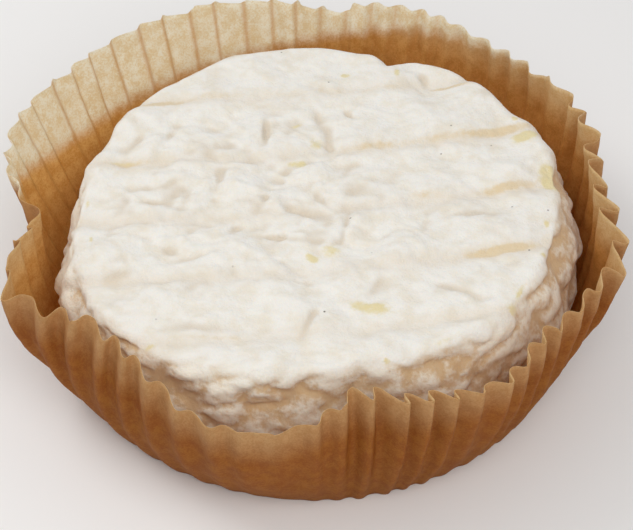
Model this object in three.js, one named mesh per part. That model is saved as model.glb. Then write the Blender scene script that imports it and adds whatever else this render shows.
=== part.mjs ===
// A round soft-ripened cheese with a white bloomy rind, standing in a pleated brown paper case.
// Millimetres, +Z up. The origin is the centre of the underside of the case's flat base.
import * as THREE from 'three';

// The case is one round sheet of thin paper, pressed into a flat base and a flared, pleated wall.
const CASE = {
  thickness: 0.4,
  baseRadius: 65.2,
  rimRadius: 75,
  rimHeight: 43,
  pleats: 62,
  pleatDepth: 1.9, // from the outer to the inner folds, at the rim
  leastDepth: 0.3,
  footShare: 0.2, // share of the rim's pleat depth that the wall has at its foot
  foldShare: 0.07, // half the width of a blunt fold, as a share of one pleat
  looseFoldShare: 0.15, // the same for the inner folds of loose pleats
  belly: 0.6, // how far the wall bulges between foot and rim
  wallRows: 5,
  colour: 0xc08d50,
};

// Places round the rim, in degrees, where the wall leans further out or in and stands higher or lower.
const RIM_SWELLS = [
  { at: 125, reach: 45, out: 8, up: 0.6 }, // flared wide at the back left
  { at: 162, reach: 13, out: 3.6, up: 0 },
  { at: 70, reach: 16, out: 4.5, up: 0 }, // and a little at the back right
  { at: 30, reach: 12, out: 1.9, up: 0 },
  { at: 3, reach: 10, out: -3.2, up: 0 },
  { at: -18, reach: 7, out: 3.8, up: -0.5 }, // pushed over at the right
  { at: -42, reach: 8, out: -1.2, up: -0.6 },
  { at: -57, reach: 8, out: 2.2, up: -1.4 },
  { at: -81, reach: 6, out: -4, up: 1 }, // tucked in at the front
  { at: -97, reach: 7, out: 0, up: -4 }, // pleats pressed flat
  { at: -107, reach: 12, out: 2.5, up: -5 }, // bent down and out
  { at: -133, reach: 14, out: -4.5, up: 0 }, // tucked in at the front left
  { at: -154.5, reach: 7, out: 7.3, up: -1.5 }, // pushed over at the left
  { at: 185, reach: 6.5, out: -6, up: -3 }, // creased inwards at the left
];

// Pleats that are torn down at the rim, each as one piece.
const NICK = { at: 88, reach: 5, down: 4.2 };

// Places where the pleats are deeper or shallower than elsewhere.
const DEPTH_SWELLS = [
  { at: -6, reach: 30, deeper: 2.6 },
  { at: -72, reach: 19, deeper: 1.7 },
  { at: -81, reach: 5, deeper: 1 },
  { at: -97, reach: 7, deeper: -2.1 },
  { at: -146, reach: 26, deeper: 1.9 },
  { at: 125, reach: 40, deeper: -0.5 },
];

// Places where the pleats have come loose: broad inner folds, an uneven rim, and a lean in degrees that
// carries the outer folds one way round and the inner folds the other.
const LOOSE_SWELLS = [
  { at: -5, reach: 34, loose: 1 },
  { at: -72, reach: 22, loose: 1 },
  { at: -146, reach: 28, loose: 1 },
];
const LEAN_SWELLS = [
  { at: -8, reach: 28, lean: -1.5 },
  { at: -72, reach: 20, lean: 0.8 },
  { at: -146, reach: 26, lean: 1.2 },
];

// Places where the wall bulges more between foot and rim, most where the cheese pushes it out.
const BELLY_SWELLS = [
  { at: -80, reach: 60, more: 3 },
  { at: -142, reach: 26, more: 3.6 },
  { at: 1, reach: 12, more: 1 },
  { at: 22, reach: 30, more: 2 },
  { at: 49, reach: 13, more: 2.6 },
];

// Pleats with one long flank and one short flank: at the back left they lie over like shingles.
const SHINGLE_SWELLS = [
  { at: 125, reach: 45, shift: 0.3 },
  { at: -8, reach: 26, shift: -0.14 },
];

// Uneven spacing of the pleats: slow waves round the wall, in degrees, and a random part for each pleat.
const SPACING_WAVES = [
  { turns: 1, size: 3, from: -61 },
  { turns: 2, size: 3.1, from: 11 },
  { turns: 3, size: 2.3, from: -4 },
];
const UNEVEN = { seed: 7, spacing: 0.16, depth: 0.3, height: 0.7, moreWhereLoose: 0.8 };

// The cheese stands on the base of the case.
const CHEESE = {
  gapBelow: 0.3,
  thickness: 38.8,
  radius: 62.7,
  topEdge: 3.2,
  bottomEdge: 7,
  bulge: 3.2,
  topRings: 18, // the rings of the top have 6, 12, 18 and so on corners, so its triangles are all alike
  edgeRings: 4,
  sideRings: 7,
  bottomRings: 3,
  colour: 0xf0ebe2,
};

// The cheese is not quite round: each harmonic has so many turns, a size and the angle of its first crest.
const OUTLINE_HARMONICS = [
  { turns: 1, size: 0.84, crest: 89 },
  { turns: 2, size: 1.45, crest: 42 },
  { turns: 3, size: 1.46, crest: -8 },
  { turns: 4, size: 1.37, crest: 35.5 },
];
const OUTLINE_SWELLS = [
  { at: 56, reach: 11, out: 3 },
  { at: 65, reach: 3, out: 1.2 },
  { at: 70.5, reach: 2.6, out: -3.4 }, // notch in the back edge
  { at: 94, reach: 15, out: 1.8 },
  { at: 125, reach: 13, out: -1.3 },
  { at: -78, reach: 5, out: -1.4 },
];
const BULGE_SWELLS = [
  { at: -15, reach: 35, more: 2.4 }, // the side sags out at the right
  { at: 56, reach: 16, more: -2.2 },
];

// Marks of the draining rack: shallow troughs across the top, bowed up towards the right.
const RACK = {
  offsets: [-47, -25.8, -4, 18.2, 43.2], // where each trough crosses the middle of the cheese
  slope: 0.12,
  bow: 0.0011,
  depth: 0.9,
  halfWidth: 1.9,
  faintShare: 0.4, // share of the depth that is left in the middle of the top
  faintWithin: 40,
};

// Puffs and hollows of the rind, as a sum of waves in random directions.
const RELIEF = { seed: 21, waves: 28, shortest: 11, longest: 26, top: 0.45, side: 0.7, flattenUpright: 1.6 };

const DEGREE = Math.PI / 180;
const FULL_TURN = 360;

// A repeatable row of numbers from 0 to 1.
function drawsFrom(seed) {
  let state = seed;
  return () => {
    state = (Math.imul(state, 1664525) + 1013904223) >>> 0;
    return state / 2 ** 32;
  };
}

// The angle from b to a, from -180 to 180 degrees.
function apart(a, b) {
  const turn = (a - b) % FULL_TURN;
  return ((turn + 1.5 * FULL_TURN) % FULL_TURN) - FULL_TURN / 2;
}

// A smooth swell of height 1 round one angle, nearly gone two reaches away.
const swell = (angle, at, reach) => Math.exp(-((apart(angle, at) / reach) ** 2));

// The sum of one property of a list of swells at an angle.
const swellsAt = (list, angle, property) =>
  list.reduce((sum, s) => sum + s[property] * swell(angle, s.at, s.reach), 0);

// A closed mesh from rings of points round the z axis. A ring may be a single point, and rings may have
// different counts: each pair is stitched by walking round both at the same pace. The rings run from the
// first to the last pole, and each ring runs anticlockwise seen from the first.
function skinOfRings(rings) {
  const firstOf = rings.map((unused, k) => rings.slice(0, k).reduce((sum, ring) => sum + ring.length, 0));
  const faces = [];
  for (let k = 0; k + 1 < rings.length; k += 1) {
    const near = rings[k].length;
    const far = rings[k + 1].length;
    const nearAt = (i) => firstOf[k] + (i % near);
    const farAt = (j) => firstOf[k + 1] + (j % far);
    const nearSteps = near === 1 ? 0 : near;
    const farSteps = far === 1 ? 0 : far;
    let i = 0;
    let j = 0;
    while (i < nearSteps || j < farSteps) {
      if (j < farSteps && (i >= nearSteps || (j + 1) * near <= (i + 1) * far)) {
        faces.push(nearAt(i), farAt(j), farAt(j + 1));
        j += 1;
      } else {
        faces.push(nearAt(i), farAt(j), nearAt(i + 1));
        i += 1;
      }
    }
  }
  const geometry = new THREE.BufferGeometry();
  const numbers = rings.flat().flatMap((point) => [...point]);
  geometry.setAttribute('position', new THREE.Float32BufferAttribute(numbers, 3));
  geometry.setIndex(faces);
  geometry.computeVertexNormals();
  return geometry;
}

// One random share for each pleat, with a mean of 0 and no more than the spread either way.
function unevenShares(count, spread, draw) {
  return Array.from({ length: count }, () => spread * (2 * draw() - 1));
}

const drawPaper = drawsFrom(UNEVEN.seed);
const SPACING_SHARES = unevenShares(CASE.pleats, UNEVEN.spacing, drawPaper);
const DEPTH_SHARES = unevenShares(CASE.pleats, UNEVEN.depth, drawPaper);
const HEIGHT_SHARES = unevenShares(CASE.pleats, UNEVEN.height, drawPaper);

// The angle of a place counted in pleats round the wall, such as 3.5 for the middle of the fourth.
function pleatAngle(place) {
  const pleat = Math.floor(place) % CASE.pleats;
  const nextPleat = (pleat + 1) % CASE.pleats;
  const within = place - Math.floor(place);
  const jitter = SPACING_SHARES[pleat] * (1 - within) + SPACING_SHARES[nextPleat] * within;
  const even = ((place + jitter) * FULL_TURN) / CASE.pleats;
  const drift = ({ turns, size, from }) => size * Math.sin(turns * (even - from) * DEGREE);
  return SPACING_WAVES.reduce((sum, wave) => sum + drift(wave), even);
}

// A point on the middle of the paper wall. fold is 1 on an outer fold and -1 on an inner fold,
// and rise runs from 0 at the foot to 1 at the rim.
function wallPoint(angle, fold, rise, deepShare, taller) {
  const rimRadius = CASE.rimRadius + swellsAt(RIM_SWELLS, angle, 'out');
  const rimHeight = CASE.rimHeight + swellsAt(RIM_SWELLS, angle, 'up') + taller;
  const depth = Math.max(CASE.leastDepth, CASE.pleatDepth + swellsAt(DEPTH_SWELLS, angle, 'deeper'));
  const belly = CASE.belly + swellsAt(BELLY_SWELLS, angle, 'more');
  const pleated = (depth / 2) * (1 + deepShare) * (CASE.footShare + (1 - CASE.footShare) * rise);
  const radius =
    CASE.baseRadius + (rimRadius - CASE.baseRadius) * rise + belly * 4 * rise * (1 - rise) + fold * pleated;
  const height = CASE.thickness / 2 + (rimHeight - CASE.thickness / 2) * rise;
  const leaning = (angle + swellsAt(LEAN_SWELLS, angle, 'lean') * rise * rise * fold) * DEGREE;
  return new THREE.Vector3(radius * Math.cos(leaning), radius * Math.sin(leaning), height);
}

// The columns of the wall: four to a pleat, two on its blunt outer fold and two on its blunt inner fold.
function wallColumns() {
  const columns = [];
  for (let pleat = 0; pleat < CASE.pleats; pleat += 1) {
    const centre = pleatAngle(pleat + 0.5);
    const loose = swellsAt(LOOSE_SWELLS, centre, 'loose');
    const inner = 0.5 - swellsAt(SHINGLE_SWELLS, centre, 'shift');
    const broad = CASE.foldShare + (CASE.looseFoldShare - CASE.foldShare) * loose;
    const uneven = HEIGHT_SHARES[pleat] * (1 + UNEVEN.moreWhereLoose * loose);
    const taller = uneven - NICK.down * swell(centre, NICK.at, NICK.reach);
    const places = [
      { within: CASE.foldShare, fold: 1 },
      { within: inner - broad, fold: -1 },
      { within: inner + broad, fold: -1 },
      { within: 1 - CASE.foldShare, fold: 1 },
    ];
    for (const { within, fold } of places) {
      columns.push({ fold, angle: pleatAngle(pleat + within), deepShare: DEPTH_SHARES[pleat], taller });
    }
  }
  return columns;
}

// The paper has two faces: the middle of the sheet moved half a thickness each way along its normal.
function paperCaseGeometry() {
  const columns = wallColumns();
  const rows = [];
  for (let row = 0; row <= CASE.wallRows; row += 1) {
    const rise = row / CASE.wallRows;
    rows.push(columns.map((c) => wallPoint(c.angle, c.fold, rise, c.deepShare, c.taller * rise)));
  }
  const around = (row, column) => rows[row][(column + columns.length) % columns.length];
  const half = CASE.thickness / 2;

  // The outward normal of the wall, from its neighbours. At the foot it is tilted to suit the flat base.
  function outward(row, column) {
    const up = around(Math.min(row + 1, CASE.wallRows), column)
      .clone()
      .sub(around(Math.max(row - 1, 0), column))
      .normalize();
    const along = around(row, column + 1).clone().sub(around(row, column - 1)).normalize();
    const normal = along.cross(up).normalize();
    if (row === 0) {
      const flat = normal.clone().setZ(0).normalize();
      return flat.setZ(-1);
    }
    return normal;
  }

  function face(side) {
    const shifted = (p, row, column) => p.clone().addScaledVector(outward(row, column), side * half);
    return rows.map((points, row) => points.map((p, column) => shifted(p, row, column)));
  }

  const under = face(1);
  const inside = face(-1);
  const bottomPole = new THREE.Vector3(0, 0, 0);
  const topPole = new THREE.Vector3(0, 0, CASE.thickness);
  return skinOfRings([[topPole], ...inside, ...under.reverse(), [bottomPole]]);
}

// How far the relief of the rind stands out at a point: waves of many lengths and directions, added.
function makeRelief() {
  const draw = drawsFrom(RELIEF.seed);
  const waves = Array.from({ length: RELIEF.waves }, () => {
    const length = RELIEF.shortest * (RELIEF.longest / RELIEF.shortest) ** draw();
    const azimuth = 2 * Math.PI * draw();
    const lift = 2 * draw() - 1;
    const level = Math.sqrt(1 - lift * lift);
    return {
      x: (2 * Math.PI * level * Math.cos(azimuth)) / length,
      y: (2 * Math.PI * level * Math.sin(azimuth)) / length,
      z: (2 * Math.PI * lift * RELIEF.flattenUpright) / length,
      phase: 2 * Math.PI * draw(),
    };
  });
  const scale = Math.sqrt(2 / RELIEF.waves);
  const height = (w, p) => Math.sin(w.x * p.x + w.y * p.y + w.z * p.z + w.phase);
  return (p) => scale * waves.reduce((sum, w) => sum + height(w, p), 0);
}

// How far the troughs of the draining rack sink the top at a point.
function rackDepth(x, y) {
  const edge = Math.min(1, Math.abs(x) / RACK.faintWithin);
  const strength = RACK.faintShare + (1 - RACK.faintShare) * edge * edge;
  return RACK.offsets.reduce((sum, offset) => {
    const across = (y - (offset + RACK.slope * x + RACK.bow * x * x)) / RACK.halfWidth;
    return sum + RACK.depth * strength * Math.exp(-across * across);
  }, 0);
}

// The radius of the cheese's top at an angle.
function outlineRadius(angle) {
  const wave = ({ turns, size, crest }) => size * Math.cos(turns * (angle - crest) * DEGREE);
  const waves = OUTLINE_HARMONICS.reduce((sum, harmonic) => sum + wave(harmonic), 0);
  return CHEESE.radius + waves + swellsAt(OUTLINE_SWELLS, angle, 'out');
}

// One side of the cheese's section, from the middle of the top to the middle of the bottom. Each entry is a
// ring: share is its share of the radius, inset is how far it then lies inside the outline, bulging is its
// share of the bulge of the side, and tilt is the slope of the surface there, from 0 on top through 90 on the
// side to 180 underneath.
function cheeseSection() {
  const bottom = CASE.thickness + CHEESE.gapBelow;
  const top = bottom + CHEESE.thickness;
  const sideTop = top - CHEESE.topEdge;
  const sideBottom = bottom + CHEESE.bottomEdge;
  const around = 6 * CHEESE.topRings;
  const section = [];
  for (let i = 1; i < CHEESE.topRings; i += 1) {
    section.push({ count: 6 * i, share: i / CHEESE.topRings, inset: CHEESE.topEdge, height: top, tilt: 0 });
  }
  for (let i = 0; i <= CHEESE.edgeRings; i += 1) {
    const tilt = (i / CHEESE.edgeRings) * 90;
    const inset = CHEESE.topEdge * (1 - Math.sin(tilt * DEGREE));
    const height = sideTop + CHEESE.topEdge * Math.cos(tilt * DEGREE);
    section.push({ count: around, share: 1, inset, height, tilt });
  }
  for (let i = 1; i <= CHEESE.sideRings; i += 1) {
    const down = i / (CHEESE.sideRings + 1);
    const bulging = Math.sin(Math.PI * down);
    const height = sideTop + (sideBottom - sideTop) * down;
    section.push({ count: around, share: 1, inset: 0, bulging, height, tilt: 90 });
  }
  for (let i = 0; i <= CHEESE.edgeRings; i += 1) {
    const tilt = 90 + (i / CHEESE.edgeRings) * 90;
    const inset = CHEESE.bottomEdge * (1 - Math.sin(tilt * DEGREE));
    const height = sideBottom + CHEESE.bottomEdge * Math.cos(tilt * DEGREE);
    section.push({ count: around, share: 1, inset, height, tilt });
  }
  for (let i = CHEESE.bottomRings - 1; i >= 1; i -= 1) {
    const share = i / CHEESE.bottomRings;
    const count = Math.round(around * share);
    section.push({ count, share, inset: CHEESE.bottomEdge, height: bottom, tilt: 180 });
  }
  return section;
}

// The cheese: its section carried round the outline, then raised and sunk by the relief of the rind, upwards
// on top and outwards on the side. Underneath it lies flat on the paper.
function cheeseGeometry() {
  const relief = makeRelief();
  const bottom = CASE.thickness + CHEESE.gapBelow;
  const top = bottom + CHEESE.thickness;

  function shaped(radius, angle, height, tilt) {
    const sideways = new THREE.Vector3(Math.cos(angle * DEGREE), Math.sin(angle * DEGREE), 0);
    const point = sideways.clone().multiplyScalar(radius).setZ(height);
    const level = Math.sin(tilt * DEGREE);
    const upright = Math.max(0, Math.cos(tilt * DEGREE));
    const puff = relief(point);
    point.addScaledVector(sideways, RELIEF.side * puff * level ** 2);
    point.z += RELIEF.top * puff * upright ** 2 - rackDepth(point.x, point.y) * upright;
    return point;
  }

  const rings = cheeseSection().map(({ count, share, inset, bulging = 0, height, tilt }) =>
    Array.from({ length: count }, (unused, column) => {
      const angle = (column / count) * FULL_TURN;
      const bulge = bulging * (CHEESE.bulge + swellsAt(BULGE_SWELLS, angle, 'more'));
      return shaped(share * (outlineRadius(angle) - inset) + bulge, angle, height, tilt);
    }),
  );
  return skinOfRings([[shaped(0, 0, top, 0)], ...rings, [new THREE.Vector3(0, 0, bottom)]]);
}

function namedMesh(name, geometry, colour, roughness) {
  const material = new THREE.MeshStandardMaterial({ color: colour, roughness, metalness: 0 });
  const mesh = new THREE.Mesh(geometry, material);
  mesh.name = name;
  return mesh;
}

const group = new THREE.Group();
group.add(namedMesh('paper_case', paperCaseGeometry(), CASE.colour, 0.8));
group.add(namedMesh('cheese', cheeseGeometry(), CHEESE.colour, 0.9));

export default group;
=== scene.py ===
# %% [markdown]
# A soft-ripened cheese in its pleated paper case, dressed over its solid model.
# The solid model gives every size and place. This file makes the surfaces that the eye meets:
# a thick white rind with puffs, hollows and rack marks, and a thin brown paper wall in pleats.

# %% Open the frame
import math

import bpy
import numpy as np
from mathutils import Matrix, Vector


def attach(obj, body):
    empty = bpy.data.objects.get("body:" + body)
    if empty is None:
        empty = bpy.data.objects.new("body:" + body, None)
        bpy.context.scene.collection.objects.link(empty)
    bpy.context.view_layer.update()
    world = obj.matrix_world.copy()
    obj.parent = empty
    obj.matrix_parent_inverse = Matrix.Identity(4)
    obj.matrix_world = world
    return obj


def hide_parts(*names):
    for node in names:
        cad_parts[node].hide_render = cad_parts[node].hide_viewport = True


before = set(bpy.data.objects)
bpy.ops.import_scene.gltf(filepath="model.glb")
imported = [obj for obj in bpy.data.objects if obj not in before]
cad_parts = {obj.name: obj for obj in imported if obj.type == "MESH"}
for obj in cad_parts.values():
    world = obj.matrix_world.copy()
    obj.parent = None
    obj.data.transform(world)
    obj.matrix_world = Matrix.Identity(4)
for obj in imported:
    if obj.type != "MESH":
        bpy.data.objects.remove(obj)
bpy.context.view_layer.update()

MM = 0.001

# %% [markdown]
# Three small helpers serve the whole lesson. The first is a repeatable row of numbers, the same
# one that the solid model uses, so that the same pleats and puffs come out here. The second is
# gradient noise, worked out for all points at once: it gives soft lumps of a chosen size. The
# third turns a grid of points into a closed mesh.


# %% Repeatable numbers and swells round the piece
def draws_from(seed, count):
    """A row of shares from 0 to 1: each state is the last one times a constant, plus a constant."""
    states = []
    state = seed
    for _ in range(count):
        state = (state * 1664525 + 1013904223) % 2**32
        states.append(state / 2**32)
    return np.array(states)


def apart(a, b):
    """The angle from b to a, from -180 to 180 degrees."""
    return (a - b + 180) % 360 - 180


def swells(angle, places):
    """Sums swells round the piece: height * exp(-(angle apart / reach)^2) for each (at, reach, height)."""
    total = np.zeros_like(angle)
    for at, reach, height in places:
        total = total + height * np.exp(-((apart(angle, at) / reach) ** 2))
    return total


def smooth_step(low, high, value):
    """0 below low, 1 above high, and the curve 3t^2 - 2t^3 between."""
    t = np.clip((value - low) / (high - low), 0, 1)
    return t * t * (3 - 2 * t)


print("first shares:", draws_from(7, 3).round(3))


# %% Gradient noise
LATTICE = 256  # the noise repeats after so many corners
NOISE_GAIN = 1.7  # brings the highest lumps to about 1


def noise(points, size, seed):
    """Soft lumps of about one size. Every corner of a lattice of that size holds a random direction.
    A point takes the dot product of its offset with each of its 8 corners' directions, blended by
    the curve 6t^5 - 15t^4 + 10t^3. The result runs from about -1 to 1."""
    rng = np.random.default_rng(seed)
    shuffle = rng.permutation(LATTICE)
    directions = rng.normal(size=(LATTICE, 3))
    directions /= np.linalg.norm(directions, axis=1)[:, None]
    place = points / np.asarray(size, float)
    cell = np.floor(place)
    within = place - cell
    blend = within**3 * (within * (within * 6 - 15) + 10)
    total = np.zeros(points.shape[:-1])
    for corner in np.ndindex(2, 2, 2):
        x, y, z = np.moveaxis((cell + corner).astype(int) % LATTICE, -1, 0)
        pick = shuffle[(shuffle[(shuffle[x] + y) % LATTICE] + z) % LATTICE]
        dot = ((within - corner) * directions[pick]).sum(-1)
        weight = np.where(corner, blend, 1 - blend).prod(-1)
        total += weight * dot
    return total * NOISE_GAIN


probe = noise(np.random.default_rng(1).uniform(0, 90, (4000, 3)), 6, 1)
print("noise runs from", probe.min().round(2), "to", probe.max().round(2))


# %% A closed skin from a grid
def closed_skin(name, first_pole, grid, last_pole, marks):
    """Rows of points round the z axis become quads, and a fan of triangles closes each end. The rows
    run from the first pole to the last, anticlockwise seen from the first, so the faces point out.
    marks holds named values, one per point, that the material reads."""
    rows, columns = grid.shape[:2]
    points = np.vstack([[first_pole], grid.reshape(-1, 3), [last_pole]]) * MM
    index = 1 + np.arange(rows * columns).reshape(rows, columns)
    beside = np.roll(index, -1, axis=1)
    quads = np.stack([index[:-1], index[1:], beside[1:], beside[:-1]], -1).reshape(-1, 4)
    first_fan = np.stack([np.zeros(columns, int), index[0], beside[0]], -1)
    last_fan = np.stack([np.full(columns, len(points) - 1), beside[-1], index[-1]], -1)
    mesh = bpy.data.meshes.new(name)
    mesh.from_pydata(points, [], quads.tolist() + first_fan.tolist() + last_fan.tolist())
    mesh.polygons.foreach_set("use_smooth", np.ones(len(mesh.polygons), bool))
    for mark, values in marks.items():
        ends = [values[0].mean()], values.ravel(), [values[-1].mean()]
        layer = mesh.attributes.new(mark, "FLOAT", "POINT")
        layer.data.foreach_set("value", np.concatenate(ends).astype(np.float32))
    piece = bpy.data.objects.new(name, mesh)
    bpy.context.scene.collection.objects.link(piece)
    print(name, "has", 2 * len(quads) + 2 * columns, "triangles")
    return piece


# %% [markdown]
# The cheese is a low drum with a rounded upper edge, a side that sags outwards and a flat foot.
# Its outline is not quite round: a few slow waves and one notch give it the shape that a curd
# takes as it drains and dries. The section is one profile, carried round that outline.

# %% The outline of the cheese
CHEESE_RADIUS = 62.7
OUTLINE_WAVES = [(1, 0.84, 89), (2, 1.45, 42), (3, 1.46, -8), (4, 1.37, 35.5)]  # turns, size, first crest
OUTLINE_SWELLS = [
    (56, 11, 3),
    (65, 3, 1.2),
    (70.5, 2.6, -3.4),
    (94, 15, 1.8),
    (125, 13, -1.3),
    (-78, 5, -1.4),
]


def outline_radius(angle):
    """The mean radius, plus size * cos(turns * (angle - crest)) for each wave, plus the swells."""
    waves = sum(size * np.cos(np.radians(turns * (angle - crest))) for turns, size, crest in OUTLINE_WAVES)
    return CHEESE_RADIUS + waves + swells(angle, OUTLINE_SWELLS)


outline = outline_radius(np.arange(0.0, 360.0))
print("outline radius from", outline.min().round(1), "to", outline.max().round(1))

# %% The section of the cheese
FOOT = 0.7
TOP = FOOT + 38.8
TOP_EDGE = 3.2
BOTTOM_EDGE = 7.0
BULGE = 3.2
BULGE_SWELLS = [(-15, 35, 2.4), (56, 16, -2.2)]
COLUMNS = 540
TOP_RINGS, EDGE_RINGS, SIDE_RINGS, FOOT_RINGS = 111, 12, 38, 5
FIRST_RING, LAST_RING = 0.008, 0.05  # shares of the radius
CLOSER_OUTSIDE = 0.9  # a power below 1 puts the rings of the top closer together near its edge


def cheese_section():
    """Five columns: share of the radius, inset, share of the bulge, height and tilt. The top runs
    outwards, a quarter circle turns over the edge, the side follows a sine for its bulge, and a wide
    quarter circle turns in to the foot."""
    flat = np.linspace(FIRST_RING, 1, TOP_RINGS + 1)[:-1] ** CLOSER_OUTSIDE
    over = np.linspace(0, 90, EDGE_RINGS)
    down = np.linspace(0, 1, SIDE_RINGS + 2)[1:-1]
    under = np.linspace(90, 180, EDGE_RINGS)
    back = np.linspace(1, LAST_RING, FOOT_RINGS + 1)[1:]
    side_top, side_foot = TOP - TOP_EDGE, FOOT + BOTTOM_EDGE
    share = np.concatenate([flat, np.ones(EDGE_RINGS + SIDE_RINGS + EDGE_RINGS), back])
    inset = np.concatenate(
        [
            np.full(TOP_RINGS, TOP_EDGE),
            TOP_EDGE * (1 - np.sin(np.radians(over))),
            np.zeros(SIDE_RINGS),
            BOTTOM_EDGE * (1 - np.sin(np.radians(under))),
            np.full(FOOT_RINGS, BOTTOM_EDGE),
        ]
    )
    height = np.concatenate(
        [
            np.full(TOP_RINGS, TOP),
            side_top + TOP_EDGE * np.cos(np.radians(over)),
            side_top + (side_foot - side_top) * down,
            side_foot + BOTTOM_EDGE * np.cos(np.radians(under)),
            np.full(FOOT_RINGS, FOOT),
        ]
    )
    bulge = np.concatenate(
        [np.zeros(TOP_RINGS + EDGE_RINGS), np.sin(np.pi * down), np.zeros(EDGE_RINGS + FOOT_RINGS)]
    )
    tilt = np.concatenate(
        [np.zeros(TOP_RINGS), over, np.full(SIDE_RINGS, 90.0), under, np.full(FOOT_RINGS, 180.0)]
    )
    return share, inset, bulge, height, tilt


section = cheese_section()
print("section has", len(section[0]), "rings, top at", TOP, "mm")

# %% [markdown]
# The rind is where the cheese is recognised. Mould grows over soft curd as a felt, so its lumps are
# rounded puffs with narrow creases between them. Slow waves, shared with the solid model, set the
# main puffs.

# %% Slow puffs, shared with the solid model
SLOW = {"seed": 21, "waves": 28, "shortest": 11, "longest": 26, "upright": 1.6}
SLOW_TOP, SLOW_SIDE = 0.45, 0.7


def slow_puffs(points):
    """A sum of sines of random length, direction and phase, scaled to a spread of about 1."""
    draws = draws_from(SLOW["seed"], 4 * SLOW["waves"]).reshape(-1, 4)
    length = SLOW["shortest"] * (SLOW["longest"] / SLOW["shortest"]) ** draws[:, 0]
    azimuth = 2 * np.pi * draws[:, 1]
    lift = 2 * draws[:, 2] - 1
    level = np.sqrt(1 - lift**2)
    turns = np.stack([level * np.cos(azimuth), level * np.sin(azimuth), lift * SLOW["upright"]], 1)
    per_mm = 2 * np.pi * turns / length[:, None]
    return math.sqrt(2 / SLOW["waves"]) * np.sin(points @ per_mm.T + 2 * np.pi * draws[:, 3]).sum(-1)


print("slow puffs at the middle of the top:", slow_puffs(np.array([0, 0, TOP])).round(2))

# %% [markdown]
# The rack on which the cheese drained leaves five shallow troughs across the top.

# %% Rack marks
RACK_OFFSETS = [-47, -25.8, -4, 18.2, 43.2]
RACK_SLOPE = 0.12
RACK_BEND = 0.0011
RACK_DEPTH = 0.9
RACK_HALF_WIDTH = 1.9
RACK_FAINTEST = 0.4
RACK_CLEAR_FROM = 40  # mm to either side of the middle


def rack_strength(x, y):
    """Troughs along y = offset + slope * x + bend * x^2, each with the section of a bell curve. They are
    clear near the edge of the top and faint in its middle."""
    clear = RACK_FAINTEST + (1 - RACK_FAINTEST) * np.minimum(1, np.abs(x) / RACK_CLEAR_FROM) ** 2
    middles = [offset + RACK_SLOPE * x + RACK_BEND * x * x for offset in RACK_OFFSETS]
    return sum(np.exp(-(((y - middle) / RACK_HALF_WIDTH) ** 2)) for middle in middles) * clear


print("rack mark strength near the right edge:", rack_strength(np.array(50.0), np.array(27.0)).round(2))

# %% [markdown]
# Single dents, bumps and colour patches of the top are soft ovals, each with its own place, size,
# turn and height. They are what the eye picks out first, so they are measured one by one.


# %% Ovals on the top
def ovals(x, y, places):
    """The sum of soft ovals, each height * exp(-(along / half length)^2 - (across / half width)^2).
    A place holds x, y, half length, half width, the turn from the x axis in degrees, and the height."""
    total = np.zeros_like(x)
    for at_x, at_y, half_length, half_width, turn, height in places:
        c, s = math.cos(math.radians(turn)), math.sin(math.radians(turn))
        along = (x - at_x) * c + (y - at_y) * s
        across = (y - at_y) * c - (x - at_x) * s
        total += height * np.exp(-((along / half_length) ** 2) - (across / half_width) ** 2)
    return total


# Where the felt is thin the curd shows: peach to tan in the rack marks, butter yellow in patches.
BARE_CURD = [
    (-42, 38.8, 7, 1.3, 13, 1.0),
    (-26, 42, 9, 1.5, 8, 0.4),
    (4, 44.2, 10, 1.5, 2, 0.35),
    (20, 45.8, 7, 1.4, 6, 0.35),
    (37, 46.9, 5.5, 0.8, 3, 1.1),
    (-49, 14.8, 6, 1.2, 6, 0.7),
    (15, 21.2, 9, 1.7, 8, 0.6),
    (32, 24.6, 9, 1.7, 10, 0.45),
    (49, 28, 9, 1.6, 12, 1),
    (28, 2.4, 6, 1.8, 2, 0.5),
    (49, 5.6, 9, 1.5, 14, 0.8),
    (46, -17.8, 9, 1.3, 12, 1.3),
    (-48, -9, 10, 0.8, 5, 0.3),
    (-38, -29.2, 10, 0.8, 2, 0.3),
    (-24, -48, 14, 0.9, 0, 0.4),
]
BUTTER_PATCHES = [
    (8.2, 50.9, 1.4, 1.3, 0, 1),
    (22.3, 51.6, 0.8, 2, 0, 0.9),
    (-47, 40, 8, 1, 30, 0.4),
    (-6, 14, 1.1, 1, 0, 0.8),
    (-3.4, 13.8, 1.4, 1.6, 0, 1),
    (0.4, 22, 2.2, 2.4, 0, 0.7),
    (-5, 29.6, 2, 0.8, 30, 0.6),
    (-0.8, -20.8, 1.4, 1.8, 60, 1),
    (4, -18.2, 2.8, 2.2, 0, 0.6),
    (14.4, -38.4, 4.4, 2, -5, 0.8),
    (10, -37.4, 2, 1.4, 0, 0.5),
    (53, 32.3, 0.9, 1.2, 0, 1),
    (55, 25, 3.6, 1.8, 20, 1.4),
    (61.2, 9.5, 3, 4.4, 10, 1.5),
    (-55.5, -14.5, 0.6, 1.6, 10, 0.8),
    (-57.6, -0.5, 0.8, 1.4, 0, 0.6),
    (-50, 15.2, 5, 0.7, 4, 0.5),
    (58.2, -8, 0.7, 1.4, 10, 0.9),
    (56.5, -19.8, 0.9, 0.8, 0, 1),
    (49.5, -33, 0.7, 4, -25, 0.8),
    (47.3, -38, 1.2, 1.2, 0, 0.9),
    (-39, -50.5, 2, 1, 30, 0.7),
    (16.8, -55.4, 0.8, 0.7, 0, 0.9),
    (30.5, -49.5, 5, 0.8, 30, 0.4),
]

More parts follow.
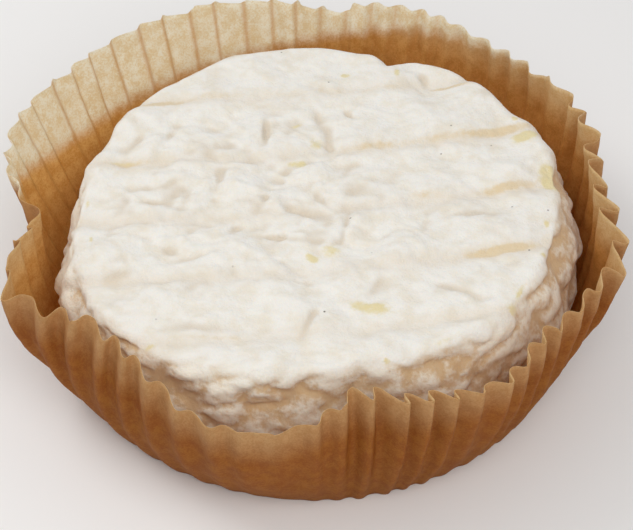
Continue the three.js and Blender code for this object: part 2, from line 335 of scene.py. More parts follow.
# Dents and creases are below zero, bumps above, in mm.
DENTS_AND_BUMPS = [
    (-12.9, 27.2, 4.6, 0.8, 91, -1.3),
    (0.9, 33, 4.5, 1.5, 100, -0.8),
    (3.6, 25, 6, 1.6, 97, -1.1),
    (8.9, 34.6, 2.1, 0.7, -62, -1),
    (-6, 27.5, 3.5, 2.2, 20, -0.5),
    (29.5, 50.5, 3, 1.2, -70, -0.9),
    (-28.4, 3.2, 2.8, 2.6, 0, 0.8),
    (-24.8, 6.5, 4.6, 1.2, 78, -1.1),
    (-41.5, -0.4, 3.4, 1, -4, -1.2),
    (-43, 6.5, 1.2, 2.8, 0, -0.6),
    (-32.4, 1, 3.5, 1, 75, -0.7),
    (-12.4, 0.6, 2.8, 1.1, 70, -1),
    (-10, -13, 3.2, 0.8, -8, -1),
    (-20, -9.6, 2.2, 1, 35, -0.6),
    (-4, -14.4, 6, 1.1, -12, -0.6),
    (7.6, -10.2, 5, 0.8, 80, -0.9),
    (4.6, -16, 2.6, 0.9, 40, -0.6),
    (10.4, -9, 5, 1.6, 82, 0.4),
    (1.5, 0.5, 3.5, 0.9, -55, -0.7),
    (3.2, 6.8, 3.5, 0.9, 60, -0.6),
    (11, 4, 5, 1.6, 40, -0.35),
    (-40, 8.5, 2.4, 2, 0, 0.6),
    (-33.5, 8, 2, 2.2, 0, 0.6),
    (-47, 8, 2.2, 2.4, 0, 0.5),
    (-20, 4, 2.2, 2.4, 0, 0.6),
    (-14.5, 5, 2, 3, 10, 0.5),
    (-46, -14, 5, 1.8, 10, 0.6),
    (-33, -14, 6, 1.6, 25, 0.6),
    (-8, 9, 3.6, 1, 75, -0.6),
    (36, -5.5, 5.5, 1.2, 12, -0.6),
    (27.5, -9, 3, 1, 75, -0.5),
    (44, -4.5, 3.5, 1.3, 0, -0.5),
    (33, -31.5, 5.5, 1.4, -22, -0.7),
    (15, -30, 3, 1.2, 60, -0.5),
    (-38, 26, 4.5, 1.2, 70, -0.7),
    (-46.5, 24, 4, 1.2, 60, -0.6),
    (-41.5, 24, 2.6, 3, 0, 0.5),
    (-1.2, -43, 4.8, 0.9, 68, -1),
    (2.6, -44.5, 3.6, 3, 60, 0.5),
    (-22, -45.2, 14, 1.4, -2, -0.5),
    (-30, -20, 7, 1.1, 15, -0.8),
    (-38, -16.5, 6, 1.1, -30, -0.7),
    (-34, -23.5, 6, 1.3, 10, 0.5),
    (-48, -27, 5, 1.2, 20, -0.6),
]
print(len(DENTS_AND_BUMPS), "dents and bumps,", len(BARE_CURD) + len(BUTTER_PATCHES), "colour patches")

# %% [markdown]
# Between the ovals the felt follows noise. On top it wrinkles, with creases and low ridges where a
# bent noise crosses zero. On the side it stands in tufts: the size of a noise, without its sign, is
# folded at zero, and the fold makes a crease between two round puffs.

# %% Wrinkles and tufts
BEND = 2.6  # mm
CREASE_WIDTH, WORM_WIDTH = 0.2, 0.26  # in values of the noise
CREASE_DEPTH, WORM_HEIGHT, LUMP_HEIGHT = 0.42, 0.5, 0.5
PUFF_FLAT_FROM = 0.5  # a puff's top is level from this value of the noise
PUFF_HEIGHT, PUFF_ZERO = 2.6, 0.75
KNOB_HEIGHT, GRAIN_HEIGHT = 0.45, 0.2


def wrinkles(points):
    """Three kinds of noise, all bent by slower noise. Along the zero line of the first runs a narrow
    crease, which leaves round puffs between. Along that of the second runs a low ridge, like a worm
    under the felt. The third adds small soft lumps."""
    bent = points + BEND * np.stack([noise(points, 12, seed) for seed in (31, 32, 33)], -1)
    crease = np.exp(-((noise(bent, (12, 8, 10), seed=34) / CREASE_WIDTH) ** 2))
    worm = np.exp(-((noise(bent, (11, 8, 10), seed=35) / WORM_WIDTH) ** 2))
    lumps = noise(bent, (6.4, 4.6, 6), seed=36)
    return WORM_HEIGHT * worm - CREASE_DEPTH * crease + LUMP_HEIGHT * lumps


def tufts_of_felt(points):
    """The side's puffs. The size of a noise, without its sign, is 0 along creases and high in round
    puffs between them. Two finer noises make its surface uneven."""
    puffs = np.minimum(np.abs(noise(points, (8.5, 8.5, 5.5), seed=44)), PUFF_FLAT_FROM) * PUFF_HEIGHT
    knobs = KNOB_HEIGHT * noise(points, (3.4, 3.4, 2.6), seed=37)
    return puffs - PUFF_ZERO + knobs + GRAIN_HEIGHT * noise(points, 1.6, seed=39)


print("wrinkles at two points:", wrinkles(np.array([[0.0, 0, 39], [20, 9, 39]])).round(2))

# %% [markdown]
# All kinds of relief add up. The same sums also tell the material where to paint shade into the hollows of
# the top, with some of the curd's warmer tint, and where the felt is thin: in the rack marks, and between the
# tufts of the side.

# %% The whole relief, and what it means for the colour
LIVELIEST, LIVELY_REACH = (-18, 1), (40, 27)  # place on the top and reach from it
CALMEST = 0.4
WRINKLES, TOP_GRAIN, TUFTS = 1.2, 0.36, 0.8  # how much of each relief
SIDE_FROM, SIDE_TO, SIDE_RAGGED = 28, 88, 22  # degrees of tilt
# The hollows' relief sets where painted shade, partly the curd's warmer tint, darkens the top.
TOP_HOLLOW_SHADE, SIDE_HOLLOW_SHADE = (0.0, -0.8), (0.15, -0.55)  # relief at which a hollow starts and is full
UNDER_LIP = [(-112, 22, 1), (-60, 14, 0.6)]
UNDER_LIP_HEIGHT, UNDER_LIP_REACH = 33, 2.6
# More white felt on the left side stands for painted light, and less at the front right for painted shade.
FELT_WITH_PAINTED_LIGHT = [(195, 40, 0.6), (-20, 40, -0.3)]
FELT_BY_SLOW, FELT_BY_LIP = 0.35, -0.8  # felt on the slow puffs, and its lack under the lip
RACK_BROADER = 0.6  # a power below 1 makes a mark's colour broader than its trough


def rind(share, inset, bulge, height, tilt, angle):
    """The cheese's points and the marks on them. A point of the section is carried to its angle, then
    raised by the relief: upwards on top, outwards on the side, and both on the edges between.
    The hollows of the top get painted shade, partly the curd's warmer tint, and rack, bare and butter colour
    the top. side is 1 on the side, where puff is high on tufts."""
    radius = share * (outline_radius(angle) - inset) + bulge * (BULGE + swells(angle, BULGE_SWELLS))
    sideways = np.stack([np.cos(np.radians(angle)), np.sin(np.radians(angle)), np.zeros_like(angle)], -1)
    upwards = np.array([0.0, 0.0, 1.0])
    points = sideways * radius[..., None] + upwards * height[..., None]
    x, y = points[..., 0], points[..., 1]
    level = np.sin(np.radians(tilt))
    upright = np.clip(np.cos(np.radians(tilt)), 0, None)

    from_liveliest = ((x - LIVELIEST[0]) / LIVELY_REACH[0]) ** 2 + ((y - LIVELIEST[1]) / LIVELY_REACH[1]) ** 2
    lively = CALMEST + (1 - CALMEST) * np.exp(-from_liveliest)
    fine_top = lively * (WRINKLES * wrinkles(points) + TOP_GRAIN * noise(points, 2.6, seed=40))
    fine_top += ovals(x, y, DENTS_AND_BUMPS)
    fine_side = tufts_of_felt(points)
    slow = slow_puffs(points)
    rack = rack_strength(x, y)

    rise = SLOW_TOP * slow * upright**2 - RACK_DEPTH * rack * upright + fine_top * upright**1.5
    spread = SLOW_SIDE * slow * level**2 + TUFTS * fine_side * level**5
    shaped = points + upwards * rise[..., None] + sideways * spread[..., None]

    side = smooth_step(SIDE_FROM, SIDE_TO, tilt + SIDE_RAGGED * noise(points, 3.6, seed=38))
    # Painted shade for the hollows: where the relief dips, on the top and between the side's tufts.
    hollow_shade = smooth_step(*TOP_HOLLOW_SHADE, fine_top) * (1 - side) + smooth_step(*SIDE_HOLLOW_SHADE, fine_side) * side
    level_with_lip = np.exp(-(((height - UNDER_LIP_HEIGHT) / UNDER_LIP_REACH) ** 2))
    under_lip = level_with_lip * swells(angle, UNDER_LIP) * side
    return shaped, {
        "hollow_shade": hollow_shade,
        "rack": rack**RACK_BROADER * (1 - side),
        "side": side,
        # puff also lays more white felt on the left side as painted light, and less at the front right as
        # painted shade.
        "puff": fine_side + FELT_BY_SLOW * slow + FELT_BY_LIP * under_lip + swells(angle, FELT_WITH_PAINTED_LIGHT),
        "bare": ovals(x, y, BARE_CURD) * (1 - side),
        "butter": ovals(x, y, BUTTER_PATCHES),
    }


ring_angle = np.arange(COLUMNS) * 360.0 / COLUMNS
spread_out = [np.repeat(column[:, None], COLUMNS, axis=1) for column in section]
cheese_points, cheese_marks = rind(*spread_out, np.repeat(ring_angle[None], len(section[0]), axis=0))
top_pole, foot_pole = cheese_points[0].mean(0), [0.0, 0.0, FOOT]
cheese = closed_skin("cheese_rind", top_pole, cheese_points, foot_pole, cheese_marks)

# %% [markdown]
# The case starts as a round sheet of thin paper. A press folds its wall into pleats that are flat
# at the foot and open towards the rim. So a point of the wall has two numbers: its place, counted in
# pleats round the wall, and its rise from foot to rim. Outer and inner folds alternate with the
# place. At the back left they lie over like shingles, at the front they are soft waves.

# %% Sizes of the case
BASE_RADIUS = 65.2
RIM_RADIUS = 75.0
RIM_HEIGHT = 43.0
PLEATS = 62
PLEAT_DEPTH = 1.9
LEAST_DEPTH = 0.3
FOOT_SHARE = 0.2
BELLY = 0.6
SHEET = 0.16  # a real sheet is about 0.06 mm; drawn so thin, its folds let cracks of light through

# Each list of swells holds an angle, its reach in degrees, and what is added there: mm, or as noted.
RIM_OUT = [
    (125, 45, 8),
    (162, 13, 3.6),
    (70, 16, 4.5),
    (30, 12, 1.9),
    (3, 10, -3.2),
    (-18, 7, 3.8),
    (-42, 8, -1.2),
    (-57, 8, 2.2),
    (-81, 6, -4),
    (-107, 12, 2.5),
    (-133, 14, -4.5),
    (-154.5, 7, 7.3),
    (185, 6.5, -6),
]
RIM_UP = [
    (125, 45, 0.6),
    (-18, 7, -0.5),
    (-42, 8, -0.6),
    (-57, 8, -1.4),
    (-81, 6, 1),
    (-97, 7, -4),
    (-107, 12, -5),
    (-154.5, 7, -1.5),
    (185, 6.5, -3),
]
RIM_NICK = [(88, 5, -4.2)]
DEEPER = [(-6, 30, 2.6), (-72, 19, 1.7), (-81, 5, 1), (-97, 7, -2.1), (-146, 26, 1.9), (125, 40, -0.5)]
MORE_BELLY = [(-80, 60, 3), (-142, 26, 3.6), (1, 12, 1), (22, 30, 2), (49, 13, 2.6)]
SHINGLE = [(125, 45, 0.3), (-8, 26, -0.14)]  # share of a pleat
LOOSE = [(-5, 34, 1), (-72, 22, 1), (-146, 28, 1)]  # share from 0 to 1
LEAN = [(-8, 28, -1.5), (-72, 20, 0.8), (-146, 26, 1.2)]  # degrees
SHARP = [(125, 45, 0.75)]  # share by which the folds stay sharp
STEP_FROM = 0.85  # the rim steps to the next pleat's height from this share of a pleat
CRUMPLE, FINE_CRUMPLE = 0.5, 0.18
CRUMPLED_FROM = 0.4  # share of the wall's height from which the crumple is full

UNEVEN_SPACING, UNEVEN_DEPTH, UNEVEN_HEIGHT = 0.16, 0.3, 0.7
MORE_WHERE_LOOSE = 0.8
spacing_draws, depth_draws, height_draws = 2 * draws_from(7, 3 * PLEATS).reshape(3, PLEATS) - 1
SPACING_SHARES, DEPTH_SHARES = UNEVEN_SPACING * spacing_draws, UNEVEN_DEPTH * depth_draws
HEIGHT_SHARES = UNEVEN_HEIGHT * height_draws
SPACING_WAVES = [(1, 3, -61), (2, 3.1, 11), (3, 2.3, -4)]  # turns, size in degrees, start
print("mean pitch at the rim:", round(2 * math.pi * RIM_RADIUS / PLEATS, 1), "mm")


# %% Pleats
def per_pleat(shares, place):
    """One share for each pleat, run smoothly from pleat to pleat."""
    pleat = np.floor(place).astype(int)
    t = smooth_step(0, 1, place - pleat)
    return shares[pleat % PLEATS] * (1 - t) + shares[(pleat + 1) % PLEATS] * t


def pleat_angle(place):
    """Even spacing, moved by a random share for each pleat and by slow waves size * sin(turns *
    (angle - start)) round the wall."""
    pleat = np.floor(place).astype(int)
    t = place - pleat
    jitter = SPACING_SHARES[pleat % PLEATS] * (1 - t) + SPACING_SHARES[(pleat + 1) % PLEATS] * t
    even = (place + jitter) * 360 / PLEATS
    waves = [size * np.sin(np.radians(turns * (even - start))) for turns, size, start in SPACING_WAVES]
    return even + sum(waves)


def pleat_height(place):
    """How far the rim of each pleat stands above or below the mean rim, with a step at its outer fold.
    Loose pleats are the more uneven, and the nick at the back takes two pleats down."""
    heights = []
    for pleat in (np.floor(place), np.floor(place) + 1):
        centre = pleat_angle(pleat + 0.5)
        uneven = HEIGHT_SHARES[pleat.astype(int) % PLEATS] * (1 + MORE_WHERE_LOOSE * swells(centre, LOOSE))
        heights.append(uneven + swells(centre, RIM_NICK))
    step = smooth_step(STEP_FROM, 1, place - np.floor(place))
    return heights[0] * (1 - step) + heights[1] * step


def fold_of(place, angle):
    """1 on an outer fold and -1 on an inner one. Straight flanks run between them, and a share of
    their sine rounds the folds: little at the back left, nearly all at the front and right. Where
    the pleats are loose, w + (w - w^3) / 2 broadens both folds and a power below 1 the inner ones."""
    t = place - np.floor(place)
    inner = 0.5 - swells(angle, SHINGLE)
    flank = np.where(t < inner, 1 - 2 * t / inner, -1 + 2 * (t - inner) / (1 - inner))
    roundness = 1 - swells(angle, SHARP)
    wave = flank + roundness * (np.sin(flank * np.pi / 2) - flank)
    loose = np.clip(swells(angle, LOOSE), 0, 1)
    wave = wave + 0.5 * loose * (wave - wave**3)
    return 1 - 2 * np.clip((1 - wave) / 2, 0, 1) ** (1 - 0.3 * loose)


# %% The wall
def wall(place, rise):
    """The middle of the sheet, and the angle of each of its points. The radius runs from foot to rim
    with a bulge 4 t (1 - t) between, plus or minus half the pleat depth, and the height runs up the
    same way. Two kinds of noise crumple it a little, everywhere but near the foot."""
    angle = pleat_angle(place)
    fold = fold_of(place, angle)
    rim_radius = RIM_RADIUS + swells(angle, RIM_OUT)
    rim_height = RIM_HEIGHT + swells(angle, RIM_UP) + pleat_height(place) * rise
    depth = np.maximum(LEAST_DEPTH, PLEAT_DEPTH + swells(angle, DEEPER))
    pleated = depth / 2 * (1 + per_pleat(DEPTH_SHARES, place)) * (FOOT_SHARE + (1 - FOOT_SHARE) * rise)
    bulge = (BELLY + swells(angle, MORE_BELLY)) * 4 * rise * (1 - rise)
    radius = BASE_RADIUS + (rim_radius - BASE_RADIUS) * rise + bulge + fold * pleated
    height = SHEET / 2 + (rim_height - SHEET / 2) * rise
    angle = angle + swells(angle, LEAN) * rise**2 * fold
    a = np.radians(angle)
    points = np.stack([radius * np.cos(a), radius * np.sin(a), height], -1)
    crumple = CRUMPLE * noise(points, (9, 9, 14), seed=41) + FINE_CRUMPLE * noise(points, 3.5, seed=42)
    outwards = np.stack([np.cos(a), np.sin(a), np.zeros_like(a)], -1)
    return points + outwards * (crumple * smooth_step(0, CRUMPLED_FROM, rise))[..., None], angle


SAMPLES = 18  # points across one pleat
WALL_ROWS = 36
places = np.arange(PLEATS * SAMPLES) / SAMPLES
rises = np.linspace(0, 1, WALL_ROWS + 1)
middle, wall_angle = wall(*np.meshgrid(places, rises))
rim_radii = np.hypot(middle[-1, :, 0], middle[-1, :, 1])
print("rim radius from", rim_radii.min().round(1), "to", rim_radii.max().round(1))

# %% [markdown]
# The paper needs two faces, or it would vanish edge on. Each point of the sheet is moved half a
# thickness either way along the normal, which is the cross product of the grid's two directions.
# The flat base joins the two faces of the wall at the foot, so the case is one closed skin.


# %% Two faces of the sheet
def both_faces(sheet, thickness):
    """The sheet's inner and outer face."""
    along = np.roll(sheet, -1, axis=1) - np.roll(sheet, 1, axis=1)
    upwards = np.gradient(sheet, axis=0)
    normal = np.cross(along, upwards)
    normal /= np.linalg.norm(normal, axis=-1, keepdims=True)
    return sheet - normal * thickness / 2, sheet + normal * thickness / 2


inner_face, outer_face = both_faces(middle, SHEET)
inner_face[0, :, 2], outer_face[0, :, 2] = SHEET, 0
base_rings = np.array([0.35, 0.9])[:, None, None]  # shares of the foot's radius
flat = np.array([1, 1, 0])
inner_base = inner_face[0] * flat * base_rings + [0, 0, SHEET]
outer_base = outer_face[0] * flat * base_rings
paper_points = np.concatenate([inner_base, inner_face, outer_face[::-1], outer_base[::-1]])
print("the sheet has", paper_points.shape[0], "rows of", paper_points.shape[1], "points")

# %% [markdown]
# A painted shadow darkens the lower part of the paper, up to a border that is low at the back left and rises
# to both sides; above it the paper is painted pale, as painted light coming through from behind. Just below
# the border and all over the left, painted light brightens the shadow. Layers folded over each other are
# painted darker, as painted shade, and the rim of the front is painted paler, as a painted highlight.

# %% What the paper's colour follows
TONE_AT, TONE_ABOVE, TONE_DROP = 130, 46, 20.8
TONE_REACH_LEFT, TONE_REACH_RIGHT = 46, 70
# Where the sheet lies in three layers it is painted darker, as painted shade.
LAPPED, LAP_AT, LAP_HALF_WIDTH = [(125, 55, 1)], 0.14, 0.08  # the last two in shares of a pleat
# The rim of the front and right is painted paler, as a painted highlight.
NO_RIM_LIGHT = [(128, 50, 1)]
RIM_LIGHT_FROM, RIM_LIGHT_FULL = -13, 1  # mm from the rim
# Just below the shadow's border, and all over the left, light is painted into the shadow.
BORDER_FROM, BORDER_FULL, BORDER_LIGHT = -14, -1, 0.8  # mm from the border, and its strength
LESS_BORDER_LIGHT, MOST_PAINTED_LIGHT = [(65, 40, 0.8)], [(192, 42, 0.85)]


def shadow_line_height(angle):
    """The height of the border between the painted shadow below and the paper painted as lit from behind
    above, in mm. It is lowest at the back left. To the right it climbs slowly, to the left fast, and at the
    front it would lie above the rim."""
    past = apart(angle, TONE_AT)
    falling = np.where(past > 0, (past / TONE_REACH_LEFT) ** 4, (past / TONE_REACH_RIGHT) ** 2)
    return TONE_ABOVE - TONE_DROP * np.exp(-falling)


def paper_marks(points, angle, place, outside):
    """The marks for the colour. The first is how far above the border of the painted shadow a point is, in
    mm. The second is 1 where light is painted into the shadow: just below the border, and all over the left.
    The third is 1 where the sheet lies in three layers, which get painted shade. The fourth is 1 at the rim
    of the front and right, which gets a painted highlight, and 0 from 13 mm below it. outside is 1 on the
    outer face."""
    t = place - np.floor(place)
    lap_shade = np.exp(-(((t - LAP_AT) / LAP_HALF_WIDTH) ** 2)) * swells(angle, LAPPED)
    rim = RIM_HEIGHT + swells(angle, RIM_UP)
    # Painted highlight along the rim, but not at the back left.
    rim_light = smooth_step(RIM_LIGHT_FROM, RIM_LIGHT_FULL, points[..., 2] - rim) * (1 - swells(angle, NO_RIM_LIGHT))
    above_shadow_line = points[..., 2] - shadow_line_height(angle)
    # Painted light just below the border, less at the back right, and all over the left.
    border = BORDER_LIGHT * smooth_step(BORDER_FROM, BORDER_FULL, above_shadow_line) * (1 - swells(angle, LESS_BORDER_LIGHT))
    painted_light = np.clip(border + swells(angle, MOST_PAINTED_LIGHT), 0, 1)
    return {"above_shadow_line": above_shadow_line, "painted_light": painted_light, "lap_shade": lap_shade, "rim_light": rim_light, "outside": outside}


base_angle = wall_angle[:1].repeat(len(base_rings), axis=0)
both_angles = np.concatenate([base_angle, wall_angle, wall_angle[::-1], base_angle])
both_places = np.broadcast_to(places, both_angles.shape)
is_outside = np.repeat([0.0, 1.0], len(both_angles) // 2)[:, None] * np.ones(len(places))
sheet_marks = paper_marks(paper_points, both_angles, both_places, is_outside)
paper = closed_skin("paper_pleats", [0.0, 0.0, SHEET], paper_points, [0.0, 0.0, 0.0], sheet_marks)

# %% [markdown]
# Colours are written as they are read off a screen, in sRGB hex, and one function turns them to the
# linear light that a renderer adds up. A second function adds a node with its settings and links.
# Four short ones use it for what comes back often: reading a mark, noise, a soft step and a blend.


# %% Helpers for materials
def linear(hex_colour):
    """sRGB hex to linear red, green and blue, with full opacity."""
    parts = [int(hex_colour[i : i + 2], 16) / 255 for i in (1, 3, 5)]
    return [p / 12.92 if p <= 0.04045 else ((p + 0.055) / 1.055) ** 2.4 for p in parts] + [1.0]


def add(tree, kind, inputs=None, **settings):
    """A node of that kind. inputs holds, by name or number, a value or the socket of another node."""
    node = tree.nodes.new("ShaderNode" + kind)
    for name, value in settings.items():
        setattr(node, name, value)
    for key, value in (inputs or {}).items():
        if isinstance(value, bpy.types.NodeSocket):
            tree.links.new(value, node.inputs[key])
        else:
            node.inputs[key].default_value = value
    return node


def mark(tree, name):
    """The value that a piece's points carry under that name."""
    return add(tree, "Attribute", attribute_name=name).outputs["Fac"]


def grain(tree, place, size, **settings):
    """Noise from 0 to 1, with lumps of about that size in mm."""
    return add(tree, "TexNoise", {"Vector": place, "Scale": 1 / (size * MM), **settings}).outputs["Fac"]


def soft_step(tree, value, start, full, most=1.0):
    """0 where the value is at the start, most where it is full, and a smooth step between."""
    settings = {0: value, 1: start, 2: full, 4: most}
    return add(tree, "MapRange", settings, interpolation_type="SMOOTHSTEP").outputs[0]


def blend(tree, share, first, second):
    """The first colour where the share is 0, the second where it is 1. A colour is a hex or a socket."""
    first, second = [linear(colour) if isinstance(colour, str) else colour for colour in (first, second)]
    return add(tree, "Mix", {0: share, 6: first, 7: second}, data_type="RGBA").outputs[2]


def reckon(tree, operation, *values, **settings):
    """The result of one step of arithmetic."""
    return add(tree, "Math", dict(enumerate(values)), operation=operation, **settings).outputs[0]


def blank_material(name):
    """A material with an empty node tree and its output node."""
    material = bpy.data.materials.new(name)
    material.use_nodes = True
    material.node_tree.nodes.clear()
    return material, material.node_tree, material.node_tree.nodes.new("ShaderNodeOutputMaterial")


# %% [markdown]
# Bloomy rind is a felt of white mould on ivory curd. Where the felt is thick it is nearly white and quite
# matt, and rack marks show the warmer curd through it. The hollows of the top are painted darker and warmer:
# painted shade, with some of the curd's warmer tint. On the side it is rubbed thin, so tan curd shows between
# cream tufts; more white felt is laid on the left side as painted light and less at the front right as
# painted shade, and the curd is darker and more orange towards the foot. A soft sheen stands for the felt's
# fine hairs. First come the two things that lie on it: worn patches and dark specks.


# %% Worn patches and specks
SPECKS = [  # place on the top in mm, and strength
    (3.7, 47.1, 0.8),
    (32.9, 18.7, 0.6),
    (46.2, 22.2, 0.6),
    (8.9, -7.0, 0.8),
    (49.9, -1.9, 0.6),
    (58.8, -3.7, 0.6),
    (53.0, -17.6, 1.0),
    (14.0, -19.1, 0.25),
    (-37.8, -42.0, 0.3),
    (2.3, -40.4, 1.0),
    (-9.3, 61.6, 0.6),
    (-20.1, -24.3, 0.3),
    (35.9, 28.3, 0.6),
]
SPECK_RADIUS = 0.35
SPECK_COLOUR = "#5E544B"
PATCH_FROM, PATCH_FULL, PATCH_GAIN = 0.05, 0.8, 1.8


def worn_patch(tree, under, amount, tufts, raggedness, hex_colour, strength):
    """Lays a colour where the amount is high, with an edge that the tufts of the felt break up."""
    ragged = reckon(tree, "MULTIPLY_ADD", tufts, raggedness, -raggedness / 2)
    ragged = reckon(tree, "ADD", ragged, amount)
    ragged = soft_step(tree, ragged, PATCH_FROM, PATCH_FULL, strength)
    most = reckon(tree, "MULTIPLY", amount, PATCH_GAIN, use_clamp=True)
    return blend(tree, reckon(tree, "MULTIPLY", ragged, most), under, hex_colour)


def speck(tree, under, place, at, strength):
    """A dark grey-brown dot on the top, round seen from above."""
    flat = add(tree, "VectorMath", {0: place, 1: (1, 1, 0)}, operation="MULTIPLY").outputs[0]
    centre = (at[0] * MM, at[1] * MM, 0)
    away = add(tree, "VectorMath", {0: flat, 1: centre}, operation="DISTANCE").outputs["Value"]
    edge, middle = SPECK_RADIUS * MM, 0.4 * SPECK_RADIUS * MM
    inside = add(tree, "MapRange", {0: away, 1: edge, 2: middle, 4: strength}).outputs[0]
    return blend(tree, inside, under, SPECK_COLOUR)


print(len(SPECKS), "specks,", 2 * SPECK_RADIUS, "mm across")

# %% Bloomy rind
THICK_FELT, THIN_FELT = "#F0ECE3", "#EAE2D2"
THIN_FROM, THIN_FULL = 0.4, 0.7  # values of the mottle
# Painted shade in the hollows of the top, with some of the curd's warmer tint.
HOLLOW_SHADE_COLOUR, HOLLOW_SHADE_STRENGTH = "#DACDB9", 0.9
RACK_FELT, RACK_TINT = "#E0D2BD", 0.5
SIDE_TUFT = "#F3ECDC"
BARE_TAN, BUTTER_YELLOW, PATCH_STRENGTH = "#DFC9A2", "#E2D29C", 0.85
PALE_CURD, TAN_CURD, LOW_CURD = "#E3CAA2", "#C49A64", "#BF8442"
LOW_FROM, LOW_FULL, LOW_TINT = 24, 10, 0.7  # heights in mm, and strength
WORN_FROM, WORN_FULL, WORN_MOST = 3.25, 1.75, 0.95
WORN_BY_NOISE = 2.8
TUFT_BUMP, HAIR_BUMP = 0.5, 0.12  # mm


def bloomy_rind():
    """White mould felt, grown: matt, with a velvet sheen, mottled at 1 to 6 mm and fuzzy at 0.3 mm."""
    material, tree, output = blank_material("bloomy_rind_grown_mould")
    place = add(tree, "TexCoord").outputs["Object"]
    mottle = grain(tree, place, 5, Detail=4, Roughness=0.55)
    tufts = grain(tree, place, 1.6, Detail=3, Roughness=0.6)
    hairs = grain(tree, place, 0.35, Detail=2)
    side = mark(tree, "side")

    felt = blend(tree, soft_step(tree, mottle, THIN_FROM, THIN_FULL), THICK_FELT, THIN_FELT)
    # Painted shade darkens the hollows of the top, partly the curd's warmer tint.
    felt = blend(tree, reckon(tree, "MULTIPLY", mark(tree, "hollow_shade"), HOLLOW_SHADE_STRENGTH), felt, HOLLOW_SHADE_COLOUR)
    felt = blend(tree, reckon(tree, "MULTIPLY", mark(tree, "rack"), RACK_TINT), felt, RACK_FELT)
    felt = worn_patch(tree, felt, mark(tree, "bare"), tufts, 1.0, BARE_TAN, PATCH_STRENGTH)
    felt = worn_patch(tree, felt, mark(tree, "butter"), tufts, 1.5, BUTTER_YELLOW, PATCH_STRENGTH)

    worn = reckon(tree, "MULTIPLY_ADD", tufts, WORN_BY_NOISE, mark(tree, "puff"))
    worn = reckon(tree, "MULTIPLY_ADD", mottle, WORN_BY_NOISE, worn)
    worn = soft_step(tree, worn, WORN_FROM, WORN_FULL, WORN_MOST)
    worn = reckon(tree, "MULTIPLY", worn, side)
    height = add(tree, "SeparateXYZ", {0: place}).outputs["Z"]
    low = soft_step(tree, height, LOW_FROM * MM, LOW_FULL * MM, LOW_TINT)
    curd = blend(tree, low, blend(tree, mottle, PALE_CURD, TAN_CURD), LOW_CURD)
    skin = blend(tree, worn, blend(tree, side, felt, SIDE_TUFT), curd)
    for x, y, strength in SPECKS:
        skin = speck(tree, skin, place, (x, y), strength)

    rough = add(tree, "Bump", {"Height": tufts, "Distance": TUFT_BUMP * MM, "Strength": 0.75})
    finer = {"Height": hairs, "Distance": HAIR_BUMP * MM, "Strength": 0.6, "Normal": rough.outputs[0]}
    fuzz = add(tree, "Bump", finer)
    shader = add(
        tree,
        "BsdfPrincipled",
        {
            "Base Color": skin,
            "Roughness": 0.88,
            "IOR": 1.4,
            "Specular IOR Level": 0.25,
            "Sheen Weight": 0.25,
            "Sheen Roughness": 0.6,
            "Subsurface Weight": 0.15,
            "Subsurface Radius": [1.0, 0.8, 0.6],
            "Subsurface Scale": 1.2 * MM,
            "Normal": fuzz.outputs[0],
        },
    )
    tree.links.new(shader.outputs[0], output.inputs["Surface"])
    return material


cheese.data.materials.append(bloomy_rind())
print("cheese wears", cheese.data.materials[0].name)

# %% [markdown]
# The paper is brown greaseproof, rolled thin. Its fibres lie in clouds, which show as pale mottling in the
# upper part, painted pale as light coming through from behind. The lower part is a smooth deep orange-brown,
# a painted shadow, and its outer face is painted darker still, as painted shade. Light passes through a
# single layer, so part of the finish is translucent.


# %% Greaseproof paper
# The first pair is paper painted pale as lit from behind; the second is a painted shadow below the border.
BACKLIT_PAPER = "#F0DCB2", "#FCF6E4"  # each pair is the paper between its clouds and in them
SHADOWED_PAPER = "#CC8C42", "#DFA358"
# Painted light, brightening the shadow below the border and on the left.
PAINTED_LIGHT_PAPER = "#EDAE58", "#FFD07E"
# Painted shade on the outer face of the lower paper.
SHADED_OUTER_PAPER = "#9E5A1C", "#B07029"
# Painted highlight along the rim.
RIM_LIGHT_PAPER = "#EBC88C", "#F4DAA8"
# Painted shade where the sheet lies in three layers.
LAP_SHADE_PAPER, LAP_SHADE_STRENGTH = "#DDA75A", 0.55
# Where the painted shadow gives way to the paper painted as lit from behind.
BACKLIT_FROM, BACKLIT_FULL = -1.6, 3.6  # mm above the border
BORDER_SPREAD = 2.5  # mm that the clouds move the border
CLOUD_FROM, CLOUD_FULL = 0.78, 1.22  # values of both noises together
FIBRE_BUMP = 0.05  # mm
# The rim's painted highlight is weaker on the outer face, so that face keeps its painted shade.
RIM_LIGHT_INSIDE, RIM_LIGHT_OUTSIDE = 0.95, 0.45
LETS_THROUGH = 0.36


